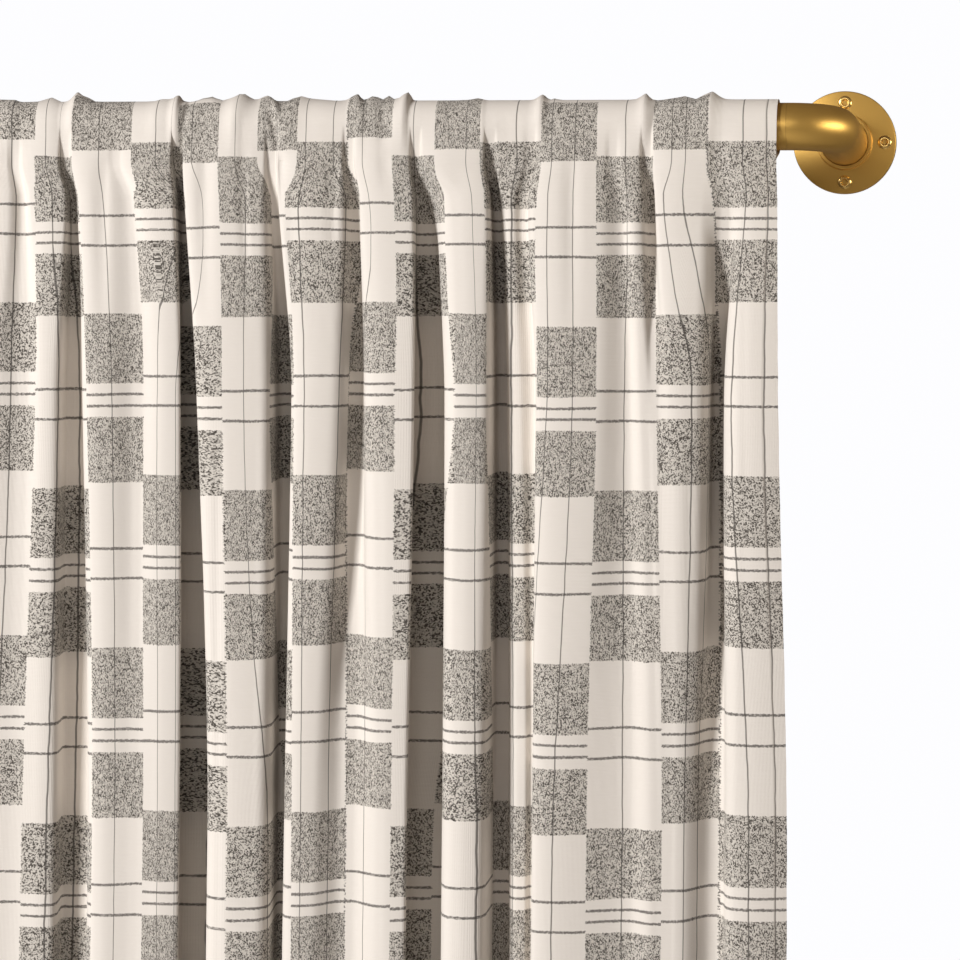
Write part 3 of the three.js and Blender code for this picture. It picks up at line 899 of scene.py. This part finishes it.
def straight_tube():
    length = SPAN - 2 * BEND_RADIUS - 2 * JOINT_GAP
    bm = bmesh.new()
    outer, edges = ring_of(bm, ROD_RADIUS * MM)
    edges = grow(bm, edges, (0, 0, length * MM))
    bmesh.ops.rotate(bm, verts=bm.verts, matrix=Matrix.Rotation(-math.pi / 2, 3, "Y"))
    start = ((-BEND_RADIUS - JOINT_GAP) * MM, -PROJECTION * MM, 0)
    bmesh.ops.translate(bm, verts=bm.verts, vec=start)
    bmesh.ops.recalc_face_normals(bm, faces=bm.faces)
    return with_wall(bm)


def with_wall(bm):
    bmesh.ops.solidify(bm, geom=bm.faces, thickness=TUBE_WALL * MM)
    bmesh.ops.recalc_face_normals(bm, faces=bm.faces)
    smooth(bm)
    return bm


BEND_STEPS = 24
SCREW_ROUND = 32


def return_tube():
    """Quarter bend off the rod, then straight into the wall plate's socket."""
    bm = bmesh.new()
    verts, edges = ring_of(bm, ROD_RADIUS * MM)
    bmesh.ops.rotate(bm, verts=verts, matrix=Matrix.Rotation(math.pi / 2, 3, "Y"))
    bmesh.ops.translate(bm, verts=verts, vec=(-BEND_RADIUS * MM, -PROJECTION * MM, 0))
    centre = (-BEND_RADIUS * MM, (BEND_RADIUS - PROJECTION) * MM, 0)
    made = bmesh.ops.spin(bm, geom=verts + edges, cent=centre, axis=(0, 0, 1), angle=math.pi / 2,
                          steps=BEND_STEPS)
    last = [g for g in made["geom_last"] if isinstance(g, bmesh.types.BMEdge)]
    grow(bm, last, (0, (PROJECTION - BEND_RADIUS - SOCKET_FLOOR - JOINT_GAP) * MM, 0))
    bmesh.ops.recalc_face_normals(bm, faces=bm.faces)
    return with_wall(bm)


def wall_plate():
    """Round plate with a raised collar round the return's socket, its edges eased."""
    bore = ROD_RADIUS + BORE_GAP
    bm = turned([
        (0, 0), (PLATE_RADIUS, 0), (PLATE_RADIUS, PLATE_THICK - 0.8),
        (PLATE_RADIUS - 0.25, PLATE_THICK - 0.25),
        (PLATE_RADIUS - 0.8, PLATE_THICK), (COLLAR_RADIUS + 0.7, PLATE_THICK),
        (COLLAR_RADIUS + 0.2, PLATE_THICK + 0.2), (COLLAR_RADIUS, PLATE_THICK + 0.7),
        (COLLAR_RADIUS, COLLAR_HEIGHT - 0.8), (COLLAR_RADIUS - 0.25, COLLAR_HEIGHT - 0.2),
        (COLLAR_RADIUS - 0.8, COLLAR_HEIGHT), (bore, COLLAR_HEIGHT),
        (bore, SOCKET_FLOOR), (0, SOCKET_FLOOR)])
    smooth(bm)
    return bm


def screws():
    """One plate's screws: low heads with a dished round recess."""
    whole = bmesh.new()
    head = [(0, 0.2), (SHANK_RADIUS, 0.2), (SHANK_RADIUS, 0.9), (HEAD_RADIUS, PLATE_THICK - 0.2),
            (HEAD_RADIUS, PLATE_THICK + 0.1), (HEAD_RADIUS - 0.4, PLATE_THICK + 0.5),
            (2.2, PLATE_THICK + 0.75), (1.7, PLATE_THICK + 0.6), (1.2, PLATE_THICK - 0.1),
            (0, PLATE_THICK - 0.4)]
    for k in range(SCREW_COUNT):
        angle = 2 * math.pi * k / SCREW_COUNT
        one = turned(head, SCREW_ROUND)
        bmesh.ops.translate(one, verts=one.verts, vec=(
            SCREW_CIRCLE * math.cos(angle) * MM, 0, SCREW_CIRCLE * math.sin(angle) * MM))
        held = bpy.data.meshes.new("screw_held")
        one.to_mesh(held)
        one.free()
        whole.from_mesh(held)
        bpy.data.meshes.remove(held)
    smooth(whole)
    return whole


def moved(bm, mirrored, x):
    """The same body at the rod's other end, mirrored, or left where it is."""
    if mirrored:
        bmesh.ops.scale(bm, verts=bm.verts, vec=(-1, 1, 1))
        bmesh.ops.reverse_faces(bm, faces=bm.faces)
    bmesh.ops.translate(bm, verts=bm.verts, vec=(x * MM, 0, 0))
    return bm


rod = piece_from(straight_tube(), "rod", rod_brass)
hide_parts("rod_tube")
for side, x in (("right", 0.0), ("left", -SPAN)):
    mirrored = side == "left"
    bend = piece_from(moved(return_tube(), mirrored, x), f"return_{side}", rod_brass)
    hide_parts(f"elbow_{side}")
    plate = piece_from(moved(wall_plate(), mirrored, x), f"plate_{side}", rod_brass)
    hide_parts(f"wall_plate_{side}")
    heads = piece_from(moved(screws(), mirrored, x), f"screws_{side}", screw_brass)
    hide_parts(*[f"screw_{side}_{k + 1}" for k in range(SCREW_COUNT)])

# ---------------------------------------------------------------- floor, light and camera


FLOOR_REACH = 6.0
FLOOR_CENTRE = (-0.36, -1.0, HEM_Z * MM - 0.03)


def floor():
    bm = bmesh.new()
    bmesh.ops.create_grid(bm, x_segments=1, y_segments=1, size=FLOOR_REACH)
    bmesh.ops.translate(bm, verts=bm.verts, vec=FLOOR_CENTRE)
    mesh = bpy.data.meshes.new("floor")
    bm.to_mesh(mesh)
    bm.free()
    laid = bpy.data.objects.new("floor", mesh)
    bpy.context.scene.collection.objects.link(laid)
    board = Board("pale_floor")
    board.feed("Base Color", (0.8, 0.8, 0.8, 1.0))
    board.feed("Roughness", 0.8)
    mesh.materials.append(board.material)


floor()


def softbox(name, place, aim, size, power, color=(1.0, 1.0, 1.0)):
    light = bpy.data.lights.new(name, "AREA")
    light.shape = "RECTANGLE"
    light.size, light.size_y = size
    light.energy = power
    light.color = color
    box = bpy.data.objects.new(name, light)
    box.location = place
    box.rotation_euler = (Vector(aim) - Vector(place)).to_track_quat("-Z", "Y").to_euler()
    bpy.context.scene.collection.objects.link(box)


AIM = (-0.25, -0.1, -0.25)
softbox("key", (-2.55, -2.6, 0.7), AIM, (0.7, 1.2), 132.0, (1.0, 0.985, 0.975))
softbox("fill", (-0.9, -3.6, 0.35), AIM, (2.0, 2.0), 3.5, (1.0, 0.93, 0.86))
softbox("front", (-0.28, -3.5, 0.6), (0.0, -0.05, 0.0), (0.9, 0.8), 5.5)
softbox("side", (0.26, -0.13, 0.03), (0.0, -0.07, 0.0), (0.2, 0.07), 0.4, (1.0, 0.95, 0.84))


ROOM_LIGHT = (0.09, 0.066, 0.05, 1.0)
BACKDROP = (0.985, 0.985, 1.0, 1.0)


def surroundings():
    """Dim warm light from all round, and a near white backdrop that only the camera sees."""
    world = bpy.data.worlds.new("studio")
    bpy.context.scene.world = world
    world.use_nodes = True
    tree = world.node_tree
    back = tree.nodes["Background"]
    path = tree.nodes.new("ShaderNodeLightPath")
    mix = tree.nodes.new("ShaderNodeMix")
    mix.data_type = "RGBA"
    mix.inputs[6].default_value = ROOM_LIGHT
    mix.inputs[7].default_value = BACKDROP
    tree.links.new(path.outputs["Is Camera Ray"], mix.inputs[0])
    tree.links.new(mix.outputs[2], back.inputs["Color"])


surroundings()

EYE = (0.3216, -4.085, -0.4257)
EYE_TURN = (7.25, 3.36, 0.579)  # yaw, pitch and roll in degrees
LENS = 283.8
SENSOR = 36.0


def camera():
    yaw, pitch, roll = (math.radians(a) for a in EYE_TURN)
    forward = Vector((-math.sin(yaw) * math.cos(pitch), math.cos(yaw) * math.cos(pitch),
                      math.sin(pitch)))
    level_right = Vector((math.cos(yaw), math.sin(yaw), 0.0))
    level_up = level_right.cross(forward)
    right = level_right * math.cos(roll) + level_up * math.sin(roll)
    up = level_up * math.cos(roll) - level_right * math.sin(roll)
    data = bpy.data.cameras.new("camera")
    data.lens, data.sensor_width = LENS, SENSOR
    data.clip_end = 50.0
    eye = bpy.data.objects.new("camera", data)
    turn = Matrix((right, up, -forward)).transposed()
    eye.matrix_world = Matrix.Translation(EYE) @ turn.to_4x4()
    bpy.context.scene.collection.objects.link(eye)
    bpy.context.scene.camera = eye


camera()
bpy.context.scene.view_settings.view_transform = "Standard"

bpy.context.view_layer.update()
